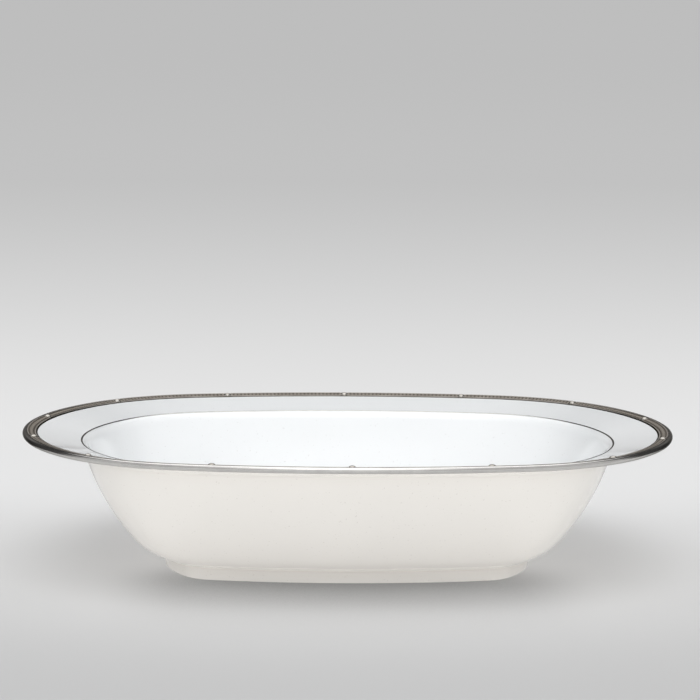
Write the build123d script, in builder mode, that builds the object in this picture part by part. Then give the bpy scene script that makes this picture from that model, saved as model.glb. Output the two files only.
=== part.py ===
from build123d import *
from math import atan2, cos, degrees, radians, sin
import os

# An oval china serving bowl on a low foot ring. Its wide rim slopes gently down to the well and
# carries a platinum border: a polished edge, a band of 14 textured panels with raised outlines,
# a raised dot at each joint between two panels, and thin lines at the band's inner side and at
# the verge, where the rim turns down into the well.
#
# Millimetres, +Z up. The origin is the centre of the foot's standing face, and the length of
# the bowl lies along X.
#
# Every outline is the rim's oval moved inwards by a constant "inset", so one upright section,
# given as (inset, height), makes each ring when it is turned about the centres of the oval's arcs.

# Plan of the rim: an oval of three radii, the same on all four quarters.
rim_length = 270.0
rim_width = 200.4
end_radius = 109.0
shoulder_radius = 75.5
end_half_angle = 35.9

# Section of the china wall. A lean is the wall's angle from upright: 90 is level.
wall_thickness = 2.4
edge_height = 56.5
rim_run = 22.8
rim_lean = 78.1
well_top_lean = 15.7
belly_lean = 41.6
level = 90.0
verge_radius = 3.5
well_wall_radius = 90.5
belly_radius = 22.0

# Foot ring.
foot_top_inset = 58.2
foot_base_inset = 58.9
foot_thickness = 4.2
foot_crease_radius = 1.6
foot_edge_radius = 0.9
floor_plate_inset = 67.0

# Platinum border. Distances along the rim run inwards from the centre of its rounded edge, and a
# lift is a height over the china, square to the rim. Prisms that cut the border stand through it.
film = 0.15
band_width = 3.85
inner_line_width = 0.85
border_line_width = 0.55
border_line_lift = 0.16
panel_lift = 0.10
border_gap = 0.05
panel_corner_radius = 1.75
verge_line_width = 0.8
panel_count = 14
prism_height = 16.0

# Raised dots.
dot_radius = 1.7
dot_lift = 0.85
dot_clearance = 0.05
dot_inset = 3.7

os.makedirs("parts", exist_ok=True)


# ---- Plan ----------------------------------------------------------------------------------

half_length = rim_length / 2
half_width = rim_width / 2

# Centre of the shoulder arc in the +X +Y quarter, then the radius of the long side arc that
# meets it smoothly and the angle at which they meet.
shoulder_x = half_length - end_radius + (end_radius - shoulder_radius) * cos(radians(end_half_angle))
shoulder_y = (end_radius - shoulder_radius) * sin(radians(end_half_angle))
side_gap = shoulder_y - half_width
side_radius = (shoulder_radius**2 - shoulder_x**2 - side_gap**2) / (2 * (side_gap + shoulder_radius))
side_start = degrees(atan2(side_gap + side_radius, shoulder_x))
shoulder_turn = side_start - end_half_angle
side_turn = 180 - 2 * side_start

# Each arc of the rim's outline, anticlockwise from the +X end: centre, radius, start and turn.
plan_arcs = [
    ((half_length - end_radius, 0), end_radius, -end_half_angle, 2 * end_half_angle),
    ((shoulder_x, shoulder_y), shoulder_radius, end_half_angle, shoulder_turn),
    ((0, half_width - side_radius), side_radius, side_start, side_turn),
    ((-shoulder_x, shoulder_y), shoulder_radius, 180 - side_start, shoulder_turn),
    ((end_radius - half_length, 0), end_radius, 180 - end_half_angle, 2 * end_half_angle),
    ((-shoulder_x, -shoulder_y), shoulder_radius, 180 + end_half_angle, shoulder_turn),
    ((0, side_radius - half_width), side_radius, 180 + side_start, side_turn),
    ((shoulder_x, -shoulder_y), shoulder_radius, 360 - side_start, shoulder_turn),
]


def oval(inset):
    """The face inside the rim's outline moved inwards by inset."""
    with BuildSketch() as face:
        with BuildLine():
            for centre, radius, start, turn in plan_arcs:
                CenterArc(centre, radius - inset, start, turn)
        make_face()
    return face.sketch


def plan_place(inset, share):
    """The point on an inset oval at a share of the way round from the middle of the +Y side,
    and the direction that faces outwards there."""
    lengths = [(radius - inset) * radians(turn) for _, radius, _, turn in plan_arcs]
    distance = lengths[0] + lengths[1] + lengths[2] / 2 + share * sum(lengths)
    distance = distance % sum(lengths)
    for (centre, radius, start, _), length in zip(plan_arcs, lengths):
        if distance <= length:
            break
        distance -= length
    angle = radians(start) + distance / (radius - inset)
    reach = radius - inset
    return (centre[0] + reach * cos(angle), centre[1] + reach * sin(angle)), degrees(angle)


def ring(section):
    """Turn an upright section about the centre of every arc of the plan and join the pieces."""
    with BuildPart() as turned:
        for centre, radius, start, turn in plan_arcs:
            across = (cos(radians(start)), sin(radians(start)), 0)
            facing = (sin(radians(start)), -cos(radians(start)), 0)
            with BuildSketch(Plane(origin=(*centre, 0), x_dir=across, z_dir=facing)):
                with Locations((radius, 0)):
                    add(section.sketch)
            revolve(axis=Axis((*centre, 0), (0, 0, 1)), revolution_arc=turn)
    return turned


# ---- Section -------------------------------------------------------------------------------


def outwards(point, lean, distance):
    """Move a section point out and down, square to a wall of that lean."""
    return (point[0] - distance * cos(radians(lean)), point[1] - distance * sin(radians(lean)))


half_wall = wall_thickness / 2
edge_centre = (half_wall + film, edge_height)


def rim_point(distance, lift):
    """A point over the rim's top, at a distance inwards from the edge's centre."""
    run = (
        edge_centre[0] + distance * sin(radians(rim_lean)),
        edge_centre[1] - distance * cos(radians(rim_lean)),
    )
    return outwards(run, rim_lean, -half_wall - lift)


# Centres of the three round stretches that follow the sloping rim, each tangent to the next.
verge_start = outwards(rim_point(rim_run, 0), rim_lean, half_wall)
verge_centre = outwards(verge_start, rim_lean, verge_radius)
wall_start = outwards(verge_centre, well_top_lean, -verge_radius)
wall_centre = outwards(wall_start, well_top_lean, -well_wall_radius)
belly_centre = outwards(wall_centre, belly_lean, well_wall_radius - belly_radius)
base_height = belly_centre[1] - belly_radius - half_wall


def arc(centre, radius, first_lean, last_lean):
    """Draw one round stretch of a section. A section is drawn at x = -inset, y = height."""
    leans = (first_lean, (first_lean + last_lean) / 2, last_lean)
    points = [outwards(centre, lean, radius) for lean in leans]
    return ThreePointArc(*[(-inset, height) for inset, height in points])


def straight(*points):
    """Draw straight stretches through section points."""
    return Polyline(*[(-inset, height) for inset, height in points])


def strip(first, last, low, high):
    """The section of a flat strip on the rim, between two distances and two lifts."""
    with BuildSketch() as section:
        with BuildLine():
            straight(rim_point(first, low), rim_point(last, low), rim_point(last, high))
            straight(rim_point(last, high), rim_point(first, high), rim_point(first, low))
        make_face()
    return section


# The wall from the floor plate up to the rounded edge and back under, with the foot ring.
floor_height = base_height + wall_thickness
foot_top_inner_inset = foot_base_inset + foot_thickness + (foot_base_inset - foot_top_inset)
with BuildSketch() as china_section:
    with BuildLine():
        straight((floor_plate_inset, floor_height), (belly_centre[0], floor_height))
        arc(belly_centre, belly_radius - half_wall, level, belly_lean)
        arc(wall_centre, well_wall_radius - half_wall, belly_lean, well_top_lean)
        arc(verge_centre, -verge_radius - half_wall, well_top_lean, rim_lean)
        straight(rim_point(rim_run, 0), rim_point(0, 0))
        arc(edge_centre, half_wall, rim_lean - 180, rim_lean)
        straight(outwards(edge_centre, rim_lean, half_wall), outwards(verge_start, rim_lean, half_wall))
        arc(verge_centre, half_wall - verge_radius, rim_lean, well_top_lean)
        arc(wall_centre, well_wall_radius + half_wall, well_top_lean, belly_lean)
        arc(belly_centre, belly_radius + half_wall, belly_lean, level)
        straight((belly_centre[0], base_height), (floor_plate_inset, base_height))
        straight((floor_plate_inset, base_height), (floor_plate_inset, floor_height))
    make_face()
    with BuildLine():
        straight((foot_top_inset, base_height + half_wall), (foot_base_inset, 0))
        straight((foot_base_inset, 0), (foot_base_inset + foot_thickness, 0))
        straight((foot_base_inset + foot_thickness, 0), (foot_top_inner_inset, base_height + half_wall))
        straight((foot_top_inner_inset, base_height + half_wall), (foot_top_inset, base_height + half_wall))
    make_face()
    standing_corners = china_section.vertices().group_by(Axis.Y)[0]
    fillet(standing_corners, foot_edge_radius)
    crease_insets = (foot_top_inset, foot_top_inner_inset)
    creases = [
        china_section.vertices().sort_by_distance((-inset, base_height))[0] for inset in crease_insets
    ]
    fillet(creases, foot_crease_radius)

# A skin wrapped round the rounded edge, from the rim's top to its underside.
with BuildSketch() as edge_section:
    with BuildLine():
        arc(edge_centre, half_wall, rim_lean - 180, rim_lean)
        straight(
            outwards(edge_centre, rim_lean, half_wall),
            outwards(edge_centre, rim_lean, half_wall + film),
        )
        arc(edge_centre, half_wall + film, rim_lean, rim_lean - 180)
        straight(rim_point(0, film), rim_point(0, 0))
    make_face()

# A thin line over the first part of the round stretch between rim and well.
verge_surface = verge_radius + half_wall
verge_line_lean = rim_lean - degrees(verge_line_width / verge_surface)
with BuildSketch() as verge_section:
    with BuildLine():
        arc(verge_centre, -verge_surface, rim_lean, verge_line_lean)
        straight(
            outwards(verge_centre, verge_line_lean, -verge_surface),
            outwards(verge_centre, verge_line_lean, -verge_surface - film),
        )
        arc(verge_centre, -verge_surface - film, verge_line_lean, rim_lean)
        straight(rim_point(rim_run, film), rim_point(rim_run, 0))
    make_face()


# ---- Pieces --------------------------------------------------------------------------------


def save(piece, name):
    piece.part.label = name
    export_step(piece.part, f"parts/{name}.step")


with BuildPart() as china_body:
    add(ring(china_section).part)
    with BuildSketch(Plane.XY.offset(base_height)):
        add(oval(floor_plate_inset))
    extrude(amount=wall_thickness)
save(china_body, "china_body")

edge_line = ring(edge_section)
save(edge_line, "edge_line")

band_ground = ring(strip(0, band_width, 0, film))
save(band_ground, "band_ground")

inner_line = ring(strip(band_width, band_width + inner_line_width, 0, film))
save(inner_line, "inner_line")

verge_line = ring(verge_section)
save(verge_line, "verge_line")

# ---- Panels, their outlines and the dots ----------------------------------------------------

# Rings over the band that the panels, their outlines and the dots are cut from.
panel_layer = ring(strip(0, band_width, film, film + panel_lift))
border_layer = ring(strip(0, band_width, film, film + border_line_lift))
space_over_band = ring(strip(0, band_width, film, film + 2 * dot_lift))

border_outer_inset = rim_point(0, film)[0] + border_gap
border_inner_inset = rim_point(band_width, film)[0] - border_gap
dot_places = [plan_place(dot_inset, number / panel_count) for number in range(panel_count)]
prism_base = Plane.XY.offset(edge_height - prism_height / 2)


def across_band(place):
    """Two points square across the band at a dot, well outside it and well inside it."""
    (x, y), angle = place
    step_x = 3 * band_width * cos(radians(angle))
    step_y = 3 * band_width * sin(radians(angle))
    return (x + step_x, y + step_y), (x - step_x, y - step_y)


def cartouche(first, last):
    """The plan of one panel with its outline, from dot to dot, with rounded ends."""
    outer_first, inner_first = across_band(first)
    outer_last, inner_last = across_band(last)
    with BuildSketch() as plan:
        add(oval(border_outer_inset))
        add(oval(border_inner_inset), mode=Mode.SUBTRACT)
        with BuildSketch(mode=Mode.INTERSECT):
            with BuildLine():
                Polyline(outer_first, outer_last, inner_last, inner_first, close=True)
            make_face()
        for point, _ in (first, last):
            corners = plan.vertices().sort_by_distance(point)[:2]
            fillet(corners, panel_corner_radius)
    return plan.sketch


def cut_from(layer, plan, dot_points):
    """The piece of a layer that lies under a plan, with room left for the dots."""
    with BuildPart() as piece:
        with BuildSketch(prism_base):
            add(plan)
            with Locations(*dot_points):
                Circle(dot_radius + dot_clearance, mode=Mode.SUBTRACT)
        extrude(amount=prism_height)
        add(layer.part, mode=Mode.INTERSECT)
    return piece


for number in range(panel_count):
    first_dot = dot_places[number]
    last_dot = dot_places[(number + 1) % panel_count]
    dot_points = (first_dot[0], last_dot[0])
    whole = cartouche(first_dot, last_dot)
    with BuildSketch() as field:
        add(whole)
        offset(amount=-border_line_width, mode=Mode.REPLACE)
    with BuildSketch() as outline:
        add(whole)
        add(field.sketch, mode=Mode.SUBTRACT)
    save(cut_from(panel_layer, field.sketch, dot_points), f"band_panel_{number + 1:02d}")
    save(cut_from(border_layer, outline.sketch, dot_points), f"panel_border_{number + 1:02d}")

# Each dot is the cap of a ball that stands out of the band by dot_lift.
ball_radius = (dot_radius**2 + dot_lift**2) / (2 * dot_lift)
dot_distance = (dot_inset - rim_point(0, film)[0]) / sin(radians(rim_lean))
ball_inset, ball_height = rim_point(dot_distance, film + dot_lift - ball_radius)
for number in range(panel_count):
    (x, y), _ = plan_place(ball_inset, number / panel_count)
    with BuildPart() as dot:
        with Locations((x, y, ball_height)):
            Sphere(ball_radius)
        add(space_over_band.part, mode=Mode.INTERSECT)
    save(dot, f"raised_dot_{number + 1:02d}")

print(f"side radius {side_radius:.1f} mm, side arc starts at {side_start:.1f} degrees")
print(f"base {base_height:.2f} mm above the standing face, floor {floor_height:.2f} mm")
print(f"verge starts at inset {rim_point(rim_run, 0)[0]:.2f} mm")
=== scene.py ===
import bpy
import numpy as np
from math import acos, asin, cos, pi, radians, sin, sqrt, tan
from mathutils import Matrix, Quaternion, Vector


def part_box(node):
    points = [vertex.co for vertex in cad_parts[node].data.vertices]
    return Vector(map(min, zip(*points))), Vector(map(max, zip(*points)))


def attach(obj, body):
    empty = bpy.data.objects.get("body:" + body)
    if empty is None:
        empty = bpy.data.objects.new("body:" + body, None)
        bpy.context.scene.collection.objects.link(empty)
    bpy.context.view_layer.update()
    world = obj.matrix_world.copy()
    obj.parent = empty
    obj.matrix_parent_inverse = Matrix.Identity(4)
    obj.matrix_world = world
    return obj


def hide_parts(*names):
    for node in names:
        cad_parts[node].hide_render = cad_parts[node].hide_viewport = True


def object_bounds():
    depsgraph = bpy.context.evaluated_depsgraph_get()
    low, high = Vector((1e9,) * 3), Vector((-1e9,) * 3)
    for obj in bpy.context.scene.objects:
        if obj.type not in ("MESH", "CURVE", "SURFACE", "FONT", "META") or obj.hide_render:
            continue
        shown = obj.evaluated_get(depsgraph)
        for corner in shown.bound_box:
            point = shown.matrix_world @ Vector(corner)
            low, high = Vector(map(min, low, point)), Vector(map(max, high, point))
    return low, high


# The looks of an oval china serving bowl: glazed china with a platinum border on its rim.
# Metres, in the CAD model's frame: +Z up, the length along X, the foot standing on z = 0.
#
# Every outline of the bowl is the rim's oval moved inwards by an "inset", so a section is a list
# of (inset, height) points, and each piece is that section carried round the oval.

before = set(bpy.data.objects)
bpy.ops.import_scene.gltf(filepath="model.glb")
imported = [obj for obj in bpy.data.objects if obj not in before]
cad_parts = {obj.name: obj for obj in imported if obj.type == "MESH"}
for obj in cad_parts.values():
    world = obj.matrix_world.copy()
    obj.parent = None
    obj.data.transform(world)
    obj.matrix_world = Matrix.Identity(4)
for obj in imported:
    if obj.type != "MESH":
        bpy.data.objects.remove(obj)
cad_low, cad_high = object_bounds()
mm = 0.001

# ---- Camera --------------------------------------------------------------------------------

camera_place = Vector((-0.01825, -0.99375, 0.21585))
camera_target = Vector((0.00067, 0.0, 0.09000))
camera_roll = radians(0.422)
camera_lens = 123.724

camera_data = bpy.data.cameras.new("camera")
camera_data.lens = camera_lens
camera_data.clip_start = 0.05
camera_data.clip_end = 100
camera = bpy.data.objects.new("camera", camera_data)
bpy.context.scene.collection.objects.link(camera)
bpy.context.scene.camera = camera
camera.location = camera_place
camera.rotation_mode = "QUATERNION"
looking = (camera_target - camera_place).to_track_quat("-Z", "Y")
camera.rotation_quaternion = looking @ Quaternion((0, 0, 1), camera_roll)

# ---- Sizes ---------------------------------------------------------------------------------

# The oval and the height of the rim's edge come from the frame.
film = 0.15 * mm
wall = 2.4 * mm
half_wall = wall / 2
half_length = (cad_high.x - cad_low.x) / 2
half_width = (cad_high.y - cad_low.y) / 2
edge_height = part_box("edge_line")[1].z - half_wall - film
end_radius = 109.0 * mm
shoulder_radius = 75.5 * mm
end_half_angle = radians(35.9)

# Section of the china. A lean is the wall's angle from upright.
rim_run = 22.8 * mm
rim_lean = radians(78.1)
well_top_lean = radians(15.7)
belly_lean = radians(41.6)
level = radians(90.0)
verge_radius = 3.5 * mm
well_wall_radius = 90.5 * mm
belly_radius = 22.0 * mm
foot_top_inset = 58.2 * mm
foot_base_inset = 58.9 * mm
foot_thickness = 4.2 * mm
foot_crease_radius = 1.6 * mm
foot_edge_radius = 0.9 * mm
floor_plate_inset = 67.0 * mm
edge_tip_lean = (2 * rim_lean - pi) / 2

# Border. Distances run along the rim from the centre of its rounded edge, lifts stand off the china.
band_width = 3.85 * mm
inner_line_width = 0.85 * mm
verge_line_width = 0.8 * mm
verge_line_lift = 0.7 * film
edge_share = 0.9
line_sharpness = 10
panel_count = 14
outline_width = 0.55 * mm
outline_lift = 0.20 * mm
outline_gap = 0.05 * mm
outline_pinch = 0.38
outline_pinch_length = 3.4 * mm
outline_fullness = 0.8
field_margin = 0.35 * outline_width
field_lift = 0.04 * mm
beads_per_panel = 30
bead_half_length = 0.78 * mm
bead_half_width = 0.95 * mm
bead_lift = 0.20 * mm
dot_radius = 1.7 * mm
dot_lift = 0.85 * mm
dot_inset = 3.7 * mm
collar_lifts = (0.05 * mm, 0.10 * mm)
collar_taper = 0.99
end_gap = 1.15 * mm

# How far the underside of a line, and of a raised piece, reaches into what it lies on.
line_sunk = 0.02 * mm
relief_sunk = 0.03 * mm

# ---- Plan ----------------------------------------------------------------------------------

shoulder_x = half_length - end_radius + (end_radius - shoulder_radius) * cos(end_half_angle)
shoulder_y = (end_radius - shoulder_radius) * sin(end_half_angle)
side_gap = shoulder_y - half_width
side_radius = (shoulder_radius**2 - shoulder_x**2 - side_gap**2) / (2 * (side_gap + shoulder_radius))
side_start = float(np.arctan2(side_gap + side_radius, shoulder_x))
shoulder_turn = side_start - end_half_angle
side_turn = pi - 2 * side_start

# Each arc anticlockwise from the +X end: centre, radius, start and turn.
plan_arcs = [
    ((half_length - end_radius, 0), end_radius, -end_half_angle, 2 * end_half_angle),
    ((shoulder_x, shoulder_y), shoulder_radius, end_half_angle, shoulder_turn),
    ((0, half_width - side_radius), side_radius, side_start, side_turn),
    ((-shoulder_x, shoulder_y), shoulder_radius, pi - side_start, shoulder_turn),
    ((end_radius - half_length, 0), end_radius, pi - end_half_angle, 2 * end_half_angle),
    ((-shoulder_x, -shoulder_y), shoulder_radius, pi + end_half_angle, shoulder_turn),
    ((0, side_radius - half_width), side_radius, pi + side_start, side_turn),
    ((shoulder_x, -shoulder_y), shoulder_radius, 2 * pi - side_start, shoulder_turn),
]
arc_lengths = [(radius - dot_inset) * turn for _, radius, _, turn in plan_arcs]
arc_ends = np.cumsum(arc_lengths)
oval_length = float(arc_ends[-1])
far_middle = arc_lengths[0] + arc_lengths[1] + arc_lengths[2] / 2


def stations(shares):
    """Points of the rim's outline and the directions facing outwards there. A share is measured
    round the oval from the middle of the far side, anticlockwise."""
    places, facings = [], []
    for share in shares:
        distance = (far_middle + share * oval_length) % oval_length
        number = min(int(np.searchsorted(arc_ends, distance)), len(plan_arcs) - 1)
        centre, radius, start, turn = plan_arcs[number]
        into = distance - (arc_ends[number] - arc_lengths[number])
        angle = start + into / (radius - dot_inset)
        facing = (cos(angle), sin(angle))
        places.append((centre[0] + radius * facing[0], centre[1] + radius * facing[1]))
        facings.append(facing)
    return np.array(places), np.array(facings)


# ---- Section -------------------------------------------------------------------------------


def outwards(point, lean, distance):
    """Move a section point out and down, square to a wall of that lean."""
    return (point[0] - distance * cos(lean), point[1] - distance * sin(lean))


edge_centre = (half_wall + film, edge_height)


def rim_point(distance, lift):
    """Section point over the rim's top. Takes numbers or arrays."""
    over = half_wall + lift
    inset = edge_centre[0] + distance * sin(rim_lean) + over * cos(rim_lean)
    height = edge_centre[1] - distance * cos(rim_lean) + over * sin(rim_lean)
    return inset, height


verge_start = outwards(rim_point(rim_run, 0), rim_lean, half_wall)
verge_centre = outwards(verge_start, rim_lean, verge_radius)
wall_start = outwards(verge_centre, well_top_lean, -verge_radius)
wall_centre = outwards(wall_start, well_top_lean, -well_wall_radius)
belly_centre = outwards(wall_centre, belly_lean, well_wall_radius - belly_radius)
base_height = belly_centre[1] - belly_radius - half_wall
floor_height = base_height + wall


def arc(centre, radius, first_lean, last_lean, count):
    """Points of one round stretch of a section, without its last point."""
    leans = np.linspace(first_lean, last_lean, count + 1)[:-1]
    return [outwards(centre, lean, radius) for lean in leans]


def run(first, last, count):
    """Points of one straight stretch, without its last point."""
    first, last = np.array(first), np.array(last)
    return [tuple(first + (last - first) * step / count) for step in range(count)]


def swing(centre, first, last, radius, count):
    """Points of the arc round a centre between two offsets from it, both as long as the radius."""
    angle = acos(float(first @ last) / radius**2)
    points = []
    for share in np.linspace(0, 1, count + 1):
        offset = (sin((1 - share) * angle) * first + sin(share * angle) * last) / sin(angle)
        points.append(tuple(centre + offset))
    return points


def rounded_corner(before, corner, after, radius, count):
    """Points of the arc that rounds the corner between two straight stretches."""
    corner = np.array(corner)
    to_before = np.array(before) - corner
    to_after = np.array(after) - corner
    to_before = to_before / np.linalg.norm(to_before)
    to_after = to_after / np.linalg.norm(to_after)
    half_angle = acos(float(to_before @ to_after)) / 2
    middle = to_before + to_after
    centre = corner + middle / np.linalg.norm(middle) * radius / sin(half_angle)
    first = corner + to_before * radius / tan(half_angle) - centre
    last = corner + to_after * radius / tan(half_angle) - centre
    return swing(centre, first, last, radius, count)


def crease(foot_top, foot_base, count):
    """Points of the hollow fillet where the belly's underside runs into the foot's outer wall,
    from the belly down."""
    top, base, middle = np.array(foot_top), np.array(foot_base), np.array(belly_centre)
    down = (base - top) / np.linalg.norm(base - top)
    away = np.array((down[1], -down[0]))
    beside = top + away * foot_crease_radius - middle
    reach = belly_radius + half_wall + foot_crease_radius
    slope = float(beside @ down)
    depth = sqrt(slope**2 - float(beside @ beside) + reach**2) - slope
    centre = top + away * foot_crease_radius + down * depth
    first = (middle - centre) / np.linalg.norm(middle - centre) * foot_crease_radius
    last = -away * foot_crease_radius
    return swing(centre, first, last, foot_crease_radius, count)


# ---- Meshes --------------------------------------------------------------------------------


def grid_faces(rows, columns, rows_close, columns_close):
    """Quads between neighbouring points of a grid numbered row by row."""
    row = np.arange(rows if rows_close else rows - 1)
    column = np.arange(columns if columns_close else columns - 1)
    row, column = np.meshgrid(row, column, indexing="ij")
    next_row, next_column = (row + 1) % rows, (column + 1) % columns
    quads = (row * columns + column, next_row * columns + column)
    quads += (next_row * columns + next_column, row * columns + next_column)
    return np.stack(quads, -1).reshape(-1, 4).tolist()


def volume(points, faces):
    """Signed volume inside closed faces: below zero when they face inwards."""
    total = 0.0
    for size in {len(face) for face in faces}:
        ring = points[np.array([face for face in faces if len(face) == size])]
        for corner in range(1, size - 1):
            cross = np.cross(ring[:, corner], ring[:, corner + 1])
            total += float((ring[:, 0] * cross).sum()) / 6
    return total


def make_piece(name, points, faces, material_list, nodes, values=None, face_slots=None):
    """A closed mesh as a named piece that rides on the bowl. values are per-point numbers that
    its materials read, by name."""
    points = np.asarray(points, float).reshape(-1, 3)
    if volume(points, faces) < 0:
        faces = [face[::-1] for face in faces]
    mesh = bpy.data.meshes.new(name)
    mesh.from_pydata(points.tolist(), [], faces)
    mesh.polygons.foreach_set("use_smooth", np.ones(len(mesh.polygons), bool))
    for key, numbers in (values or {}).items():
        layer = mesh.attributes.new(key, "FLOAT", "POINT")
        layer.data.foreach_set("value", np.asarray(numbers, np.float32).ravel())
    for material in material_list:
        mesh.materials.append(material)
    if face_slots is not None:
        mesh.polygons.foreach_set("material_index", np.asarray(face_slots, np.int32))
    mesh.update()
    piece = bpy.data.objects.new(name, mesh)
    bpy.context.scene.collection.objects.link(piece)
    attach(piece, "root")
    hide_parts(*nodes)
    return piece


def carry(shares, insets, heights):
    """Section points carried to stations. insets and heights are one section, or one per station."""
    places, facings = stations(shares)
    insets = np.broadcast_to(insets, (len(shares), np.shape(insets)[-1]))
    heights = np.broadcast_to(heights, insets.shape)
    points = np.empty(insets.shape + (3,))
    points[..., 0] = places[:, None, 0] - facings[:, None, 0] * insets
    points[..., 1] = places[:, None, 1] - facings[:, None, 1] * insets
    points[..., 2] = heights
    return points


def wobble(shares, amount, seed):
    """A slow, even unevenness round the oval, as of a line laid on by hand."""
    random = np.random.default_rng(seed)
    shares = np.asarray(shares)
    total = np.zeros(len(shares))
    for waves in (2, 3, 5, 9, 14, 23):
        total += sin_wave(shares * waves + random.random()) / sqrt(waves)
    return amount * total / 2


def sin_wave(turns):
    return np.sin(2 * pi * turns)


# ---- Materials -----------------------------------------------------------------------------


class NodeTree:
    """A node tree, with short calls for the nodes that both the materials and the world need."""

    def __init__(self, tree):
        self.nodes = tree.nodes
        self.links = tree.links

    def feed(self, given, socket):
        """Give a socket a number, or another node's output."""
        if isinstance(given, (int, float)):
            socket.default_value = given
        else:
            self.links.new(given, socket)

    def math(self, kind, *inputs):
        node = self.nodes.new("ShaderNodeMath")
        node.operation = kind
        for socket, given in zip(node.inputs, inputs):
            self.feed(given, socket)
        return node.outputs[0]

    def product(self, first, *others):
        for other in others:
            first = self.math("MULTIPLY", first, other)
        return first

    def span(self, factor, low, high, low_out=0.0, high_out=1.0):
        """A smooth step from low_out to high_out while the factor goes from low to high."""
        node = self.nodes.new("ShaderNodeMapRange")
        node.interpolation_type = "SMOOTHSTEP"
        self.feed(factor, node.inputs["Value"])
        self.feed(low, node.inputs["From Min"])
        self.feed(high, node.inputs["From Max"])
        self.feed(low_out, node.inputs["To Min"])
        self.feed(high_out, node.inputs["To Max"])
        return node.outputs["Result"]

    def parts(self, vector):
        """The X, Y and Z of a vector."""
        node = self.nodes.new("ShaderNodeSeparateXYZ")
        self.links.new(vector, node.inputs[0])
        return node.outputs["X"], node.outputs["Y"], node.outputs["Z"]


class Shader(NodeTree):
    """One material's node tree."""

    def __init__(self, name):
        self.material = bpy.data.materials.new(name)
        self.material.use_nodes = True
        super().__init__(self.material.node_tree)
        self.surface = self.nodes["Principled BSDF"]
        self.position = self.nodes.new("ShaderNodeTexCoord").outputs["Object"]

    def set(self, **sockets):
        for key, value in sockets.items():
            self.surface.inputs[key.replace("_", " ")].default_value = value

    def join(self, output, key):
        self.links.new(output, self.surface.inputs[key])

    def noise(self, scale, detail=2.0, roughness=0.5, place=None):
        node = self.nodes.new("ShaderNodeTexNoise")
        node.inputs["Scale"].default_value = scale
        node.inputs["Detail"].default_value = detail
        node.inputs["Roughness"].default_value = roughness
        self.links.new(self.position if place is None else place, node.inputs["Vector"])
        return node.outputs["Fac"]

    def value(self, name):
        node = self.nodes.new("ShaderNodeAttribute")
        node.attribute_name = name
        return node.outputs["Fac"]

    def blend(self, factor, first, second):
        node = self.nodes.new("ShaderNodeMix")
        node.data_type = "RGBA"
        self.links.new(factor, node.inputs["Factor"])
        for socket, given in ((node.inputs[6], first), (node.inputs[7], second)):
            if isinstance(given, tuple):
                socket.default_value = (*given, 1)
            else:
                self.links.new(given, socket)
        return node.outputs[2]

    def vector(self, *parts):
        node = self.nodes.new("ShaderNodeCombineXYZ")
        for socket, given in zip(node.inputs, parts):
            self.feed(given, socket)
        return node.outputs[0]

    def bump(self, height, distance, strength=1.0, after=None):
        node = self.nodes.new("ShaderNodeBump")
        node.inputs["Distance"].default_value = distance
        node.inputs["Strength"].default_value = strength
        self.links.new(height, node.inputs["Height"])
        if after is not None:
            self.links.new(after, node.inputs["Normal"])
        return node.outputs["Normal"]


def glaze(name, tint, pooled, speck):
    """Glossy china glaze: slow tone changes, a deeper tone where the glaze gathers, a faint
    ripple and a few fine specks."""
    shader = Shader(name)
    deeper, pool_share, speck_share = 0.985, 0.6, 0.35
    tone = shader.span(shader.noise(22, 3), 0.3, 0.7)
    colour = shader.blend(tone, tint, tuple(deeper * channel for channel in tint))
    colour = shader.blend(shader.product(shader.value("pool"), pool_share), colour, pooled)
    specks = shader.span(shader.noise(1500, 0), 0.79, 0.83)
    colour = shader.blend(shader.product(specks, speck_share), colour, speck)
    shader.join(colour, "Base Color")
    rough = shader.span(shader.noise(60, 2), 0.3, 0.7, 0.06, 0.10)
    shader.join(rough, "Roughness")
    shader.set(IOR=1.52)
    ripple = shader.bump(shader.noise(130, 1), 0.02 * mm, 0.6)
    peel = shader.bump(shader.noise(900, 1), 0.002 * mm, 0.6, ripple)
    shader.join(peel, "Normal")
    return shader.material


def bare_china(name):
    """The foot's standing face, ground free of glaze: dry and finely grained."""
    shader = Shader(name)
    grain = shader.noise(2600, 3, 0.7)
    tone = shader.span(grain, 0.3, 0.7)
    shader.join(shader.blend(tone, (0.62, 0.57, 0.50), (0.74, 0.70, 0.63)), "Base Color")
    shader.join(shader.span(grain, 0.3, 0.7, 0.6, 0.8), "Roughness")
    shader.join(shader.bump(grain, 0.02 * mm), "Normal")
    return shader.material


def platinum(name, tone, deep, smooth, rough, streaks, kept):
    """Fired platinum: brush streaks along the line, a cloudy tone that changes at random, fine grain.
    kept is the share of its brightness that it keeps where it is seen at a very low angle."""
    shader = Shader(name)
    along_scale, across_scale = 60, 5000
    along = shader.product(shader.value("along"), along_scale)
    across = shader.product(shader.value("across"), across_scale)
    streak = shader.noise(1.0, 3, 0.6, shader.vector(along, across, 0.0))
    cloud = shader.noise(180, 3)
    colour = shader.blend(shader.span(cloud, 0.3, 0.72), tone, deep)
    shader.join(colour, "Base Color")
    shader.set(Metallic=1.0, Specular_Tint=(kept, 0.96 * kept, 0.92 * kept, 1))
    mixed = shader.math("ADD", shader.product(streak, 0.5), shader.product(cloud, 0.5))
    shader.join(shader.span(mixed, 0.3, 0.7, smooth, rough), "Roughness")
    fine = shader.bump(streak, streaks)
    grain = shader.bump(shader.noise(3500, 2), 0.002 * mm, 0.7, fine)
    shader.join(grain, "Normal")
    return shader.material


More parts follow.
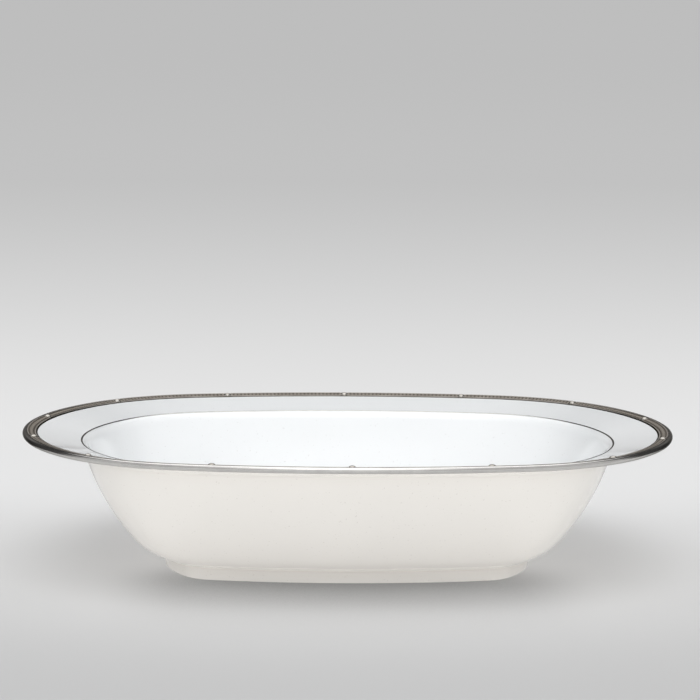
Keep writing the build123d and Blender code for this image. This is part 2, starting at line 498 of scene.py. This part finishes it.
def beaded_platinum(name):
    """Platinum over the beaded field: smooth and light on bead tops, rough and dark brown between them.
    """
    shader = Shader(name)
    relief = shader.value("relief")
    grain = shader.noise(3800, 3, 0.65)
    cloud = shader.noise(200, 2)
    # Bead height with a little grain: lighter colour and a smoother finish on the bead tops, darker
    # between them.
    bead_height_and_grain = shader.math("ADD", relief, shader.span(grain, 0.3, 0.7, -0.12, 0.12))
    top = shader.span(bead_height_and_grain, 0.15, 0.8)
    base = shader.blend(cloud, (0.10, 0.088, 0.075), (0.14, 0.124, 0.106))
    shader.join(shader.blend(top, base, (0.34, 0.312, 0.275)), "Base Color")
    shader.set(Metallic=1.0, Specular_Tint=(0.78, 0.74, 0.70, 1))
    shader.join(shader.span(top, 0.0, 1.0, 0.55, 0.30), "Roughness")
    shader.join(shader.bump(grain, 0.008 * mm), "Normal")
    return shader.material


# One glaze in two tints: the inside's cooler tint and the outside's warmer ivory tint are painted light
# colour, as cool overhead light and warm front light show it.
inside_glaze = glaze("inside_glaze", (0.88, 0.893, 0.90), (0.80, 0.815, 0.83), (0.55, 0.54, 0.52))
outside_glaze = glaze("outside_glaze", (0.89, 0.868, 0.83), (0.80, 0.765, 0.72), (0.55, 0.52, 0.48))
bare_foot = bare_china("bare_foot")
polished = platinum(
    "polished_platinum",
    tone=(0.80, 0.785, 0.765),
    deep=(0.73, 0.715, 0.695),
    smooth=0.10,
    rough=0.18,
    streaks=0.003 * mm,
    kept=0.16,
)
satin = platinum(
    "satin_platinum",
    tone=(0.52, 0.49, 0.45),
    deep=(0.44, 0.41, 0.375),
    smooth=0.26,
    rough=0.38,
    streaks=0.004 * mm,
    kept=0.85,
)
ground = platinum(
    "ground_platinum",
    tone=(0.16, 0.147, 0.132),
    deep=(0.12, 0.110, 0.098),
    smooth=0.22,
    rough=0.34,
    streaks=0.004 * mm,
    kept=0.40,
)
# A darker copy of polished_platinum, for the inner line: its darker tone is painted shade.
shaded_polished = platinum(
    "shaded_polished_platinum",
    tone=(0.24, 0.228, 0.212),
    deep=(0.19, 0.180, 0.166),
    smooth=0.12,
    rough=0.20,
    streaks=0.003 * mm,
    kept=0.15,
)
beaded = beaded_platinum("beaded_platinum")
dot_platinum = platinum(
    "dot_platinum",
    tone=(0.56, 0.535, 0.495),
    deep=(0.48, 0.46, 0.425),
    smooth=0.10,
    rough=0.16,
    streaks=0.0,
    kept=0.55,
)

# ---- China body ----------------------------------------------------------------------------

body_stations = 560
body_shares = np.arange(body_stations) / body_stations

inside = run((floor_plate_inset, floor_height), (belly_centre[0], floor_height), 5)
inside += arc(belly_centre, belly_radius - half_wall, level, belly_lean, 14)
inside += arc(wall_centre, well_wall_radius - half_wall, belly_lean, well_top_lean, 20)
inside += arc(verge_centre, -verge_radius - half_wall, well_top_lean, rim_lean, 14)
inside += run(rim_point(rim_run, 0), rim_point(0, 0), 12)
inside += arc(edge_centre, half_wall, rim_lean - pi, edge_tip_lean, 5)

foot_top = (foot_top_inset, base_height + half_wall)
foot_base = (foot_base_inset, 0.0)
foot_inner_base = (foot_base_inset + foot_thickness, 0.0)
foot_inner_top = (foot_inner_base[0] + foot_base_inset - foot_top_inset, base_height)
hollow = crease(foot_top, foot_base, 7)
hollow_lean = asin((belly_centre[1] - hollow[0][1]) / (belly_radius + half_wall))
outer_foot = rounded_corner(foot_top, foot_base, foot_inner_base, foot_edge_radius, 5)
inner_foot = rounded_corner(foot_base, foot_inner_base, foot_inner_top, foot_edge_radius, 5)
base_corner = (floor_plate_inset, base_height)
inner_hollow = rounded_corner(foot_inner_base, foot_inner_top, base_corner, foot_crease_radius, 5)

outside = arc(edge_centre, half_wall, edge_tip_lean, rim_lean, 6)
underside_start = outwards(edge_centre, rim_lean, half_wall)
underside_end = outwards(verge_start, rim_lean, half_wall)
outside += run(underside_start, underside_end, 10)
outside += arc(verge_centre, half_wall - verge_radius, rim_lean, well_top_lean, 10)
outside += arc(wall_centre, well_wall_radius + half_wall, well_top_lean, belly_lean, 20)
outside += arc(belly_centre, belly_radius + half_wall, belly_lean, hollow_lean, 10)
outside += hollow + outer_foot
recess = inner_foot + inner_hollow + [base_corner]

# The flat standing face lies between the foot's two rounded corners.
section = np.array(inside + outside + recess)
standing_face = len(inside) + len(outside) - 1
body_points = carry(body_shares, section[:, 0], section[:, 1])
body_columns = len(section)


def pool_of(section_points):
    """How much glaze gathers at each section point: most in the hollows beside the foot, under
    the rim and round the well's floor."""
    gather = np.zeros(len(section_points))
    under_rim = outwards(verge_centre, (well_top_lean + rim_lean) / 2, half_wall - verge_radius)
    well_foot = outwards(belly_centre, (belly_lean + level) / 2, belly_radius - half_wall)
    places = (
        (hollow[3], 1.6 * mm, 1.0),
        (inner_hollow[2], 1.6 * mm, 1.0),
        (under_rim, 3.0 * mm, 0.6),
        (well_foot, 22.0 * mm, 0.5),
    )
    for place, reach, amount in places:
        away = np.linalg.norm(section_points - np.array(place), axis=1)
        gather += amount * np.exp(-((away / reach) ** 2))
    return gather


body_pool = np.broadcast_to(pool_of(section), (body_stations, body_columns))

# The flat floor is filled with ever smaller ovals, inside and below, each closing on one point.
fill_shares = np.linspace(1, 0, 9)[1:-1]
top_rings = body_points[None, :, 0] * fill_shares[:, None, None]
low_rings = body_points[None, :, -1] * fill_shares[:, None, None]
top_rings[..., 2] = floor_height
low_rings[..., 2] = base_height


def disc_faces(rim_numbers, first_number, ring_count, centre_number):
    """Faces from a rim of point numbers through rings numbered from first_number to a centre."""
    rings = [np.asarray(rim_numbers)]
    for ring in range(ring_count):
        rings.append(first_number + ring * body_stations + np.arange(body_stations))
    faces = []
    for outer, inner in zip(rings, rings[1:]):
        quads = (outer, np.roll(outer, -1), np.roll(inner, -1), inner)
        faces += np.stack(quads, -1).tolist()
    last = rings[-1]
    centre = np.full(body_stations, centre_number)
    faces += np.stack((last, np.roll(last, -1), centre), -1).tolist()
    return faces


body_faces = grid_faces(body_stations, body_columns, True, False)
wall_slots = np.zeros(body_columns - 1, int)
wall_slots[len(inside) :] = 1
wall_slots[standing_face] = 2
body_slots = np.tile(wall_slots, body_stations).tolist()
ring_count = len(fill_shares)
grid_size = body_stations * body_columns
low_start = grid_size + ring_count * body_stations
centres = low_start + ring_count * body_stations
top_rim = np.arange(body_stations) * body_columns
top_disc = disc_faces(top_rim, grid_size, ring_count, centres)
low_disc = disc_faces(top_rim + body_columns - 1, low_start, ring_count, centres + 1)
body_faces += [face[::-1] for face in top_disc] + low_disc
body_slots += [0] * len(top_disc) + [1] * len(low_disc)
all_points = np.concatenate(
    (
        body_points.reshape(-1, 3),
        top_rings.reshape(-1, 3),
        low_rings.reshape(-1, 3),
        [(0, 0, floor_height), (0, 0, base_height)],
    )
)
all_pool = np.zeros(len(all_points))
all_pool[:grid_size] = body_pool.ravel()
make_piece(
    "glazed_china",
    all_points,
    body_faces,
    [inside_glaze, outside_glaze, bare_foot],
    ["china_body"],
    {"pool": all_pool},
    body_slots,
)

# ---- Platinum lines ------------------------------------------------------------------------

line_stations = 1120
line_shares = np.arange(line_stations) / line_stations


def thickness(shares_across, depth):
    """A laid line's thickness: full over its middle and thinned out to its two sides."""
    return depth * (1 - np.abs(2 * shares_across - 1) ** line_sharpness) ** 0.5


def line_ring(name, material, surface, depth, count, nodes, sides=(0.0, 0.0), seed=0):
    """A closed ring that lies on the china. surface(s, lift) gives the section point at a share
    of the way across. Its two sides wander by the amounts in sides, in shares of its width."""
    across = 0.5 - 0.5 * np.cos(pi * np.linspace(0, 1, count))
    first = wobble(line_shares, sides[0], seed)[:, None]
    last = 1 + wobble(line_shares, sides[1], seed + 1)[:, None]
    place = first + (last - first) * across
    top = surface(place, thickness(across, depth))
    under = surface(place[:, ::-1], np.full(count, -line_sunk))
    insets = np.concatenate((top[0], under[0]), 1)
    heights = np.concatenate((top[1], under[1]), 1)
    points = carry(line_shares, insets, heights)
    along = np.broadcast_to((line_shares * oval_length)[:, None], insets.shape)
    reach = np.concatenate((place, place[:, ::-1]), 1) * mm
    faces = grid_faces(line_stations, insets.shape[1], True, True)
    values = {"along": along, "across": reach}  # every line counts as 1 mm wide
    make_piece(name, points, faces, [material], nodes, values)


def edge_surface(share, lift):
    """Over the rounded edge, from the rim's top to a little short of its underside."""
    lean = rim_lean - pi * (1 - share * edge_share)
    reach = half_wall + lift
    return edge_centre[0] - reach * np.cos(lean), edge_centre[1] - reach * np.sin(lean)


def band_surface(share, lift):
    return rim_point(share * band_width, lift)


def inner_line_surface(share, lift):
    return rim_point(band_width + share * inner_line_width, lift)


def verge_surface(share, lift):
    radius = verge_radius + half_wall
    lean = rim_lean - share * verge_line_width / radius
    reach = radius + lift
    return verge_centre[0] + reach * np.cos(lean), verge_centre[1] + reach * np.sin(lean)


edge_sway, inner_line_sway, verge_line_sway = (0.0, 0.012), (0.0, 0.05), (0.06, 0.06)

line_ring("polished_edge", polished, edge_surface, film, 26, ["edge_line"], edge_sway, 3)
line_ring("platinum_ground", ground, band_surface, film, 8, ["band_ground"])
line_ring(
    "inner_platinum_line",
    shaded_polished,
    inner_line_surface,
    film,
    8,
    ["inner_line"],
    inner_line_sway,
    5,
)
line_ring(
    "verge_platinum_line",
    polished,
    verge_surface,
    verge_line_lift,
    8,
    ["verge_line"],
    verge_line_sway,
    7,
)

# ---- Panels and their outlines -------------------------------------------------------------

band_middle = band_width / 2
dot_distance = (dot_inset - rim_point(0, film)[0]) / sin(rim_lean)
outline_reach = band_middle - outline_gap - outline_width / 2
panel_length = oval_length / panel_count


def pinch(from_dot):
    """The panel's width near a dot, as a share of its full width."""
    nearness = np.clip(1 - from_dot / outline_pinch_length, 0, 1)
    return 1 - outline_pinch * nearness**2


def panel_places(count):
    """Distances along one panel from its first dot, and to the nearer of its two dots."""
    places = np.linspace(end_gap, panel_length - end_gap, count)
    return places, np.minimum(places, panel_length - places)


def end_caps(rows, columns, start=0):
    """The two end faces of a loft of closed sections."""
    first = start + np.arange(columns)
    return [first.tolist(), (first + (rows - 1) * columns)[::-1].tolist()]


def field_piece(number):
    """The beaded field of one panel."""
    samples_per_bead = 12
    samples = samples_per_bead * beads_per_panel + 1
    across_count = 15
    places, from_dot = panel_places(samples)
    side = np.linspace(-1, 1, across_count)
    reach = (outline_reach - field_margin) * pinch(from_dot)
    offset = side[None, :] * reach[:, None]
    pitch = (panel_length - 2 * end_gap) / beads_per_panel
    phase = (places - end_gap) / pitch
    in_bead = (phase - np.floor(phase) - 0.5) * pitch
    bead_reach = bead_half_width * pinch(from_dot)
    distance = (in_bead / bead_half_length)[:, None] ** 2 + (offset / bead_reach[:, None]) ** 2
    relief = np.sqrt(np.clip(1 - distance, 0, 1))
    lifts = film + field_lift + bead_lift * relief
    low = np.full((samples, 1), film - relief_sunk)
    offsets = np.concatenate((offset, offset[:, -1:], offset[:, :1]), 1)
    lifts = np.concatenate((lifts, low, low), 1)
    relief = np.concatenate((relief, 0 * low, 0 * low), 1)
    insets, heights = rim_point(dot_distance + offsets, lifts)
    shares = (number * panel_length + places) / oval_length
    points = carry(shares, insets, heights)
    faces = grid_faces(samples, offsets.shape[1], False, True) + end_caps(samples, offsets.shape[1])
    name = f"{number + 1:02d}"
    make_piece(
        f"beaded_panel_{name}",
        points,
        faces,
        [beaded],
        [f"band_panel_{name}"],
        {"relief": relief},
    )


def outline_piece(number):
    """The two raised outlines of one panel, which draw in to the dot at each end."""
    samples = 161
    places, from_dot = panel_places(samples)
    turn = np.linspace(0, pi, 9)
    points, faces, along, across = [], [], [], []
    for side in (-1, 1):
        centre = side * outline_reach * pinch(from_dot)
        offset = centre[:, None] - np.cos(turn)[None, :] * outline_width / 2
        lift = film + outline_lift * np.sin(turn)[None, :] ** outline_fullness + 0 * offset
        low = np.full((samples, 1), film - relief_sunk)
        offset = np.concatenate((offset, offset[:, -1:], offset[:, :1]), 1)
        lift = np.concatenate((lift, low, low), 1)
        insets, heights = rim_point(dot_distance + offset, lift)
        shares = (number * panel_length + places) / oval_length
        columns = offset.shape[1]
        start = sum(len(part) for part in points)
        points.append(carry(shares, insets, heights).reshape(-1, 3))
        new = np.array(grid_faces(samples, columns, False, True)) + start
        faces += new.tolist() + end_caps(samples, columns, start)
        along.append(np.repeat(number * panel_length + places, columns))
        across.append(offset.ravel())
    name = f"{number + 1:02d}"
    make_piece(
        f"raised_outline_{name}",
        np.concatenate(points),
        faces,
        [satin],
        [f"panel_border_{name}"],
        {"along": np.concatenate(along), "across": np.concatenate(across)},
    )


for number in range(panel_count):
    field_piece(number)
    outline_piece(number)

# ---- Dots ----------------------------------------------------------------------------------

dot_turns = 48
ball_radius = (dot_radius**2 + dot_lift**2) / (2 * dot_lift)
cap_angle = asin(dot_radius / ball_radius)


def dot_piece(number):
    """A domed dot with a low collar round its foot, square to the sloping rim."""
    random = np.random.default_rng(40 + number)
    swell = 1 - 0.03 * random.random()
    rise = 1 - 0.04 * random.random()
    angles = np.linspace(cap_angle, 0, 17)[:-1]
    radii = [dot_radius, dot_radius, dot_radius * collar_taper]
    lifts = [film - relief_sunk, film + collar_lifts[0], film + collar_lifts[1]]
    for angle in angles[1:]:
        radii.append(ball_radius * sin(angle) * swell)
        lifts.append(film + (dot_lift - ball_radius * (1 - cos(angle))) * rise)
    radii, lifts = np.array(radii), np.array(lifts)
    (place,), (facing,) = stations([number / panel_count])
    inset, height = rim_point(dot_distance, 0)
    middle = np.array((*(place - facing * inset), height))
    tangent = np.array((-facing[1], facing[0], 0))
    inwards = np.array((*(-facing * sin(rim_lean)), -cos(rim_lean)))
    upwards = np.array((*(-facing * cos(rim_lean)), sin(rim_lean)))
    turns = np.arange(dot_turns) / dot_turns * 2 * pi
    around = np.cos(turns)[:, None] * tangent + np.sin(turns)[:, None] * inwards
    points = middle + radii[:, None, None] * around[None] + lifts[:, None, None] * upwards
    tip = middle + (film + dot_lift * rise) * upwards
    under = middle + (film - relief_sunk) * upwards
    rows = len(radii)
    faces = grid_faces(rows, dot_turns, False, True)
    last = (rows - 1) * dot_turns + np.arange(dot_turns)
    first = np.arange(dot_turns)
    tip_number = rows * dot_turns
    faces += np.stack((last, np.roll(last, -1), np.full(dot_turns, tip_number)), -1).tolist()
    faces += np.stack((np.roll(first, -1), first, np.full(dot_turns, tip_number + 1)), -1).tolist()
    points = np.concatenate((points.reshape(-1, 3), [tip, under]))
    name = f"{number + 1:02d}"
    make_piece(f"platinum_dot_{name}", points, faces, [dot_platinum], [f"raised_dot_{name}"])


for number in range(panel_count):
    dot_piece(number)

# ---- Floor and backdrop --------------------------------------------------------------------

floor_front = -6.0
floor_split = 0.12
floor_back = 3.2
floor_side = 5.0
sweep_radius = 0.35
wall_top = 0.75
paper_albedo = 0.65
paper_glow = 0.40
gradient_eye = 0.994
backdrop_start = 0.15
backdrop_end = 0.60


def paper():
    """Pale grey paper on a lit table, with painted light and shade in its colour: palest just
    behind the bowl, darker up the sweep and towards its front. It glows by itself, more and
    more towards the back."""
    shader = Shader("studio_paper")
    across, depth, rise = shader.parts(shader.position)

    # Painted light falloff: the tone falls off evenly as seen from camera_place, which is
    # gradient_eye in front of the bowl's middle. It is fixed to the stage, so it stays put when the
    # camera moves.
    distance = shader.math("MAXIMUM", shader.math("ADD", depth, gradient_eye), 0.2)
    nearness = shader.math("DIVIDE", 1.0, distance)
    back = shader.span(nearness, 0.15, 0.78, 0.50, 0.775)
    # Painted shade: darker up the sweep and towards the front.
    up = shader.span(rise, 0.0, 0.20, 1.0, 0.965)
    front = shader.span(depth, -0.22, 0.20, 0.71, 1.0)
    # Painted light: a brighter patch of paper further forward.
    painted_light_patch = shader.span(depth, -0.30, -0.60, 1.0, 1.6)

    # The contact shadow is strengthened only in front of the foot, and less beyond its ends.
    open_sky = shader.nodes.new("ShaderNodeAmbientOcclusion")
    open_sky.samples = 8
    open_sky.inputs["Distance"].default_value = 0.08
    closed_in = shader.math("SUBTRACT", 1.0, open_sky.outputs["AO"])
    before_foot = shader.span(depth, 0.0, -0.045, 0.0, 0.68)
    beside_foot = shader.span(shader.math("ABSOLUTE", across), 0.065, 0.105, 1.0, 0.15)
    gathered = shader.product(shader.math("POWER", closed_in, 2.2), before_foot, beside_foot)
    contact = shader.math("SUBTRACT", 1.0, gathered)

    tone = shader.product(back, up, front, painted_light_patch, contact)
    albedo = shader.span(depth, backdrop_start, backdrop_end, paper_albedo, 0.03)
    glow = shader.span(depth, backdrop_start, backdrop_end, paper_glow, 1.0)
    shader.join(shader.product(tone, albedo), "Base Color")
    shader.join(tone, "Emission Color")
    shader.join(glow, "Emission Strength")
    shader.set(Roughness=0.9, Specular_IOR_Level=0.0)
    return shader.material


def stage_strip(name, profile, material, in_reflections):
    """A stage surface as wide as the studio, through (y, z) points. It casts no shadow, so that
    light from below the floor gets through."""
    points = [(side * floor_side, y, z) for y, z in profile for side in (-1, 1)]
    faces = [(2 * i, 2 * i + 1, 2 * i + 3, 2 * i + 2) for i in range(len(profile) - 1)]
    mesh = bpy.data.meshes.new(name)
    mesh.from_pydata(points, [], faces)
    mesh.polygons.foreach_set("use_smooth", np.ones(len(mesh.polygons), bool))
    mesh.materials.append(material)
    mesh.update()
    strip = bpy.data.objects.new(name, mesh)
    bpy.context.scene.collection.objects.link(strip)
    strip.visible_glossy = in_reflections
    strip.visible_shadow = False


studio_paper = paper()
stage_strip("floor", [(floor_front, 0), (floor_split, 0)], studio_paper, True)
sweep = [(floor_split, 0), (floor_back - sweep_radius, 0)]
sweep_steps = 12
for step in range(1, sweep_steps + 1):
    turn = step / sweep_steps * pi / 2
    sweep.append((floor_back - sweep_radius + sweep_radius * sin(turn), sweep_radius * (1 - cos(turn))))
sweep.append((floor_back, wall_top))
stage_strip("backdrop", sweep, studio_paper, False)

# ---- Light ---------------------------------------------------------------------------------


def soft_light(name, turn, elevation, spread, strength, colour):
    """A wide, even, far light. turn is measured from straight in front, positive to the right.
    It is hidden from reflections: the platinum and the glaze mirror studio_world() instead."""
    data = bpy.data.lights.new(name, "SUN")
    data.angle = radians(spread)
    data.energy = strength * pi
    data.color = colour
    light = bpy.data.objects.new(name, data)
    bpy.context.scene.collection.objects.link(light)
    around, up = radians(turn), radians(elevation)
    towards = Vector((cos(up) * sin(around), -cos(up) * cos(around), sin(up)))
    light.location = towards * 2
    light.rotation_mode = "QUATERNION"
    light.rotation_quaternion = (-towards).to_track_quat("-Z", "Y")
    light.visible_glossy = False


warm = (1.0, 0.988, 0.968)
neutral = (1.0, 1.0, 1.0)
cool = (0.97, 0.985, 1.0)

# Name, turn, elevation and spread in degrees, strength and colour. table_bounce comes from below
# the floor, in place of the light that a pale table gives back.
lights = (
    ("key", 0, 63, 50, 0.48, neutral),
    ("low_front", 0, 4, 24, 0.32, neutral),
    ("left_side", -72, 24, 40, 0.28, neutral),
    ("right_side", 72, 24, 40, 0.28, neutral),
    ("overhead", 0, 85, 90, 0.28, cool),
    ("table_bounce", 0, -45, 60, 0.42, warm),
)
for light in lights:
    soft_light(*light)


def studio_world():
    """The studio as the platinum mirrors it: a white ceiling canopy overhead, a lit backdrop low
    behind, a dark room above it and to the sides, and a grey one in front. It is seen only in
    reflections and past the stage, and lights nothing else."""
    world = bpy.data.worlds.new("studio")
    world.use_nodes = True
    studio = NodeTree(world.node_tree)
    direction = studio.nodes.new("ShaderNodeTexCoord").outputs["Generated"]
    across, depth, rise = studio.parts(direction)
    behind = studio.span(rise, 0.25, 0.42, 0.54, 0.03)
    room = studio.span(depth, -0.15, 0.15, 0.66, behind)
    canopy = studio.span(rise, 0.535, 0.64, room, 1.5)
    beside = studio.span(depth, 0.0, 0.45, 0.52, 0.06)
    narrower = studio.span(depth, -0.1, 0.3, 0.26, 0.0)
    sideways = studio.math("ADD", studio.math("ABSOLUTE", across), narrower)
    light = studio.span(sideways, 0.33, 0.58, canopy, beside)
    studio.links.new(light, studio.nodes["Background"].inputs["Color"])
    world.cycles_visibility.diffuse = False
    bpy.context.scene.world = world


studio_world()

bpy.context.scene.view_settings.view_transform = "Standard"
